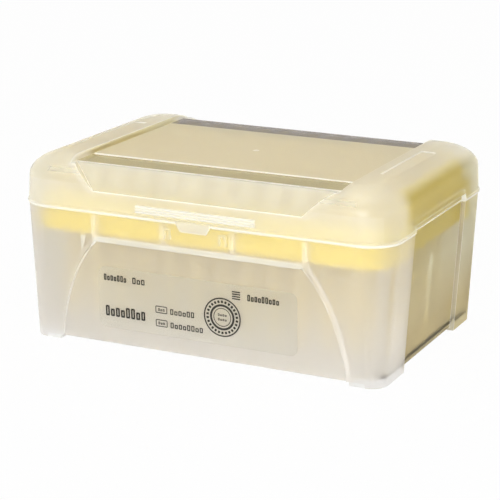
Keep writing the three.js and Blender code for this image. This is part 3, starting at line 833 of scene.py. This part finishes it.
def buildTips():
    look = tipLook
    one = bmesh.new()
    profile = look["outside"] + look["inside"]
    outline = [one.verts.new((radius * mm, 0, height * mm)) for radius, height in profile]
    edges = [one.edges.new((a, b)) for a, b in zip(outline, outline[1:] + outline[:1])]
    bmesh.ops.spin(one, geom=outline + edges, axis=(0, 0, 1), cent=(0, 0, 0), dvec=(0, 0, 0),
                   angle=math.tau, steps=look["sides"], use_merge=True, use_duplicate=False)
    bmesh.ops.remove_doubles(one, verts=one.verts, dist=look["merge"] * mm)
    bmesh.ops.recalc_face_normals(one, faces=one.faces)
    for vert in one.verts:
        height, radius = vert.co.z / mm, vert.co.xy.length / mm
        side = round(math.atan2(vert.co.y, vert.co.x) / math.tau * look["sides"])
        if side % 2 and look["ribFoot"] < height < look["ribTop"] and radius > look["ribInside"]:
            scale = 1 - look["ribDepth"] / radius
            vert.co.x *= scale
            vert.co.y *= scale
    single = bpy.data.meshes.new("oneTip")
    one.to_mesh(single)
    one.free()

    rows = {}
    collarFoot = boxInMm("tip_E1")[0][2] - look["outside"][0][1]
    turnOn, turnAcross = look["turns"]
    for row, column, x, y in gridPlaces():
        bm = rows.setdefault(row, bmesh.new())
        before = set(bm.verts)
        bm.from_mesh(single)
        fresh = [v for v in bm.verts if v not in before]
        turn = Matrix.Rotation(math.radians(turnOn * column + turnAcross * row), 3, "Z")
        bmesh.ops.rotate(bm, verts=fresh, cent=(0, 0, 0), matrix=turn)
        bmesh.ops.translate(bm, verts=fresh, vec=(x * mm, y * mm, collarFoot * mm))
    for row, bm in rows.items():
        letter = tipGrid["letters"][row]
        nodes = ["tips_row_" + letter]    # the rear rows are one node each, the others a node for each tip
        if nodes[0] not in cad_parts:
            nodes = ["tip_%s%d" % (letter, column + 1) for column in range(tipGrid["columns"])]
        finishPiece("tipsRow" + letter, bm, "box", [tipPlastic], nodes)
    bpy.data.meshes.remove(single)


labelLook = {
    "thick": 0.2, "radius": 2.5, "segments": 8, "edge": 0.06, "sharpAngle": 60, "inkThick": 0.02,
    # short blocks stand for the letters of a word: middle x, middle z, half length, half height, blocks
    "words": [(-28.7, 6.7, 4.2, 1.05, 7), (-20.2, 6.7, 2.4, 1.05, 3), (-25.3, -4.5, 7.4, 1.75, 8),
              (-4.8, -1.8, 4.4, 0.95, 6), (-3.3, -6.3, 5.9, 0.95, 8), (23.4, 6.6, 5.5, 1.05, 9)],
    "heights": (1.0, 0.72, 0.86, 0.72, 1.0),
    "blockShare": 0.76, "corner": 0.3, "cornerSegments": 2,
    "stroke": 0.26, "thinStroke": 0.10, "openFrom": 0.9,    # a block stays whole where its strokes would meet
    # frames in the same way, with the share of each that its word takes; then a stack of bars
    "frames": [(-12.2, -1.6, 2.1, 1.2), (-12.2, -6.1, 2.1, 1.2)],
    "frameLine": 0.28, "frameWord": (0.60, 0.38, 3),
    "lines": (14.2, 6.8, 1.4, 0.20, 4), "linePitch": 0.75,
    # the round seal: its rings by outer and inner radius, the marks between them and the words within
    "rings": [(6.4, 5.95), (4.25, 3.55), (3.05, 2.8)],
    "ringPlace": (9.3, -1.0), "ringSides": 64,
    "marks": 26, "markPlace": 5.1, "markSize": (0.36, 0.42),
    "middleWords": [(0, 0.75, 1.6, 0.40, 4), (0, -0.75, 1.6, 0.40, 4)],
}


def buildLabel():
    look = labelLook
    low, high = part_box("label")
    halfX, halfZ = (high[0] - low[0]) / 2 / mm, (high[2] - low[2]) / 2 / mm
    thick = look["thick"]
    lean = math.atan((high[1] - low[1] - thick * mm) / (high[2] - low[2]))
    stand = Matrix(((1, 0, 0, (low[0] + high[0]) / 2),
                    (0, -math.sin(lean), -math.cos(lean), (low[1] + high[1] + thick * mm) / 2),
                    (0, math.cos(lean), -math.sin(lean), (low[2] + high[2]) / 2),
                    (0, 0, 0, 1)))

    def thicken(bm, faces, height):
        grown = bmesh.ops.extrude_face_region(bm, geom=faces, use_keep_orig=True)
        points = [g for g in grown["geom"] if isinstance(g, bmesh.types.BMVert)]
        bmesh.ops.translate(bm, verts=points, vec=(0, 0, height * mm))

    bm = bmesh.new()
    sheet = roundedOutline(bm, halfX, halfZ / math.cos(lean), look["radius"], 0, look["segments"])
    thicken(bm, [sheet], thick)
    bmesh.ops.recalc_face_normals(bm, faces=bm.faces)
    rimEdges = [e for e in bm.edges if e.calc_face_angle() > math.radians(look["sharpAngle"])
                and all(v.co.z > thick / 2 * mm for v in e.verts)]
    bmesh.ops.bevel(bm, geom=rimEdges, offset=look["edge"] * mm, offset_type="OFFSET", segments=1,
                    profile=0.5, affect="EDGES", clamp_overlap=False, material=-1)
    bmesh.ops.transform(bm, matrix=stand, verts=bm.verts)
    finishPiece("labelFilm", bm, "box", [film], ["label"])

    bm = bmesh.new()

    def bar(x, z, halfLength, halfHeight):
        before = set(bm.verts)
        corner = min(halfLength, halfHeight) * look["corner"]
        face = roundedOutline(bm, halfLength, halfHeight, corner, 0, look["cornerSegments"])
        fresh = [v for v in bm.verts if v not in before]
        bmesh.ops.translate(bm, verts=fresh, vec=(x * mm, z * mm, 0))
        return face, fresh

    def hollow(face, line):
        # Leaves only a line round the face
        bmesh.ops.inset_individual(bm, faces=[face], thickness=line * mm, use_even_offset=True)
        bmesh.ops.delete(bm, geom=[face], context="FACES")

    def word(x, z, halfLength, halfHeight, blocks):
        pitch = 2 * halfLength / blocks
        for n in range(blocks):
            height = halfHeight * look["heights"][n % len(look["heights"])]
            place = x + (n - (blocks - 1) / 2) * pitch
            halfBlock = pitch * look["blockShare"] / 2
            block = bar(place, z - halfHeight + height, halfBlock, height)[0]
            stroke = look["stroke"] * halfHeight + look["thinStroke"]
            if stroke < look["openFrom"] * halfBlock:
                hollow(block, stroke)

    for place in look["words"]:
        word(*place)
    for x, z, halfLength, halfHeight in look["frames"]:
        hollow(bar(x, z, halfLength, halfHeight)[0], look["frameLine"])
        along, up, blocks = look["frameWord"]
        word(x, z, halfLength * along, halfHeight * up, blocks)
    x, z, halfLength, halfHeight, count = look["lines"]
    for n in range(count):
        bar(x, z + (n - (count - 1) / 2) * look["linePitch"], halfLength, halfHeight)
    x, z = look["ringPlace"]
    for n in range(look["marks"]):
        fresh = bar(0, look["markPlace"], *look["markSize"])[1]
        turn = Matrix.Rotation(math.tau * n / look["marks"], 3, "Z")
        bmesh.ops.rotate(bm, verts=fresh, cent=(0, 0, 0), matrix=turn)
        bmesh.ops.translate(bm, verts=fresh, vec=(x * mm, z * mm, 0))
    for offX, offZ, halfLength, halfHeight, blocks in look["middleWords"]:
        word(x + offX, z + offZ, halfLength, halfHeight, blocks)
    seal = Matrix.Translation((x * mm, z * mm, 0))
    for outer, inner in look["rings"]:
        loops = []
        for radius in (outer, inner):
            made = bmesh.ops.create_circle(bm, cap_ends=False, segments=look["ringSides"], radius=radius * mm,
                                           matrix=seal)
            loops += once(e for v in made["verts"] for e in v.link_edges)
        bmesh.ops.bridge_loops(bm, edges=loops)
    bmesh.ops.recalc_face_normals(bm, faces=bm.faces)
    thicken(bm, bm.faces[:], look["inkThick"])
    bmesh.ops.recalc_face_normals(bm, faces=bm.faces)
    bmesh.ops.translate(bm, verts=bm.verts, vec=(0, 0, thick * mm))
    bmesh.ops.transform(bm, matrix=stand, verts=bm.verts)
    finishPiece("labelPrint", bm, "box", [ink])


buildBox()
buildLid()
buildGateMark()
buildTray()
buildTips()
buildLabel()
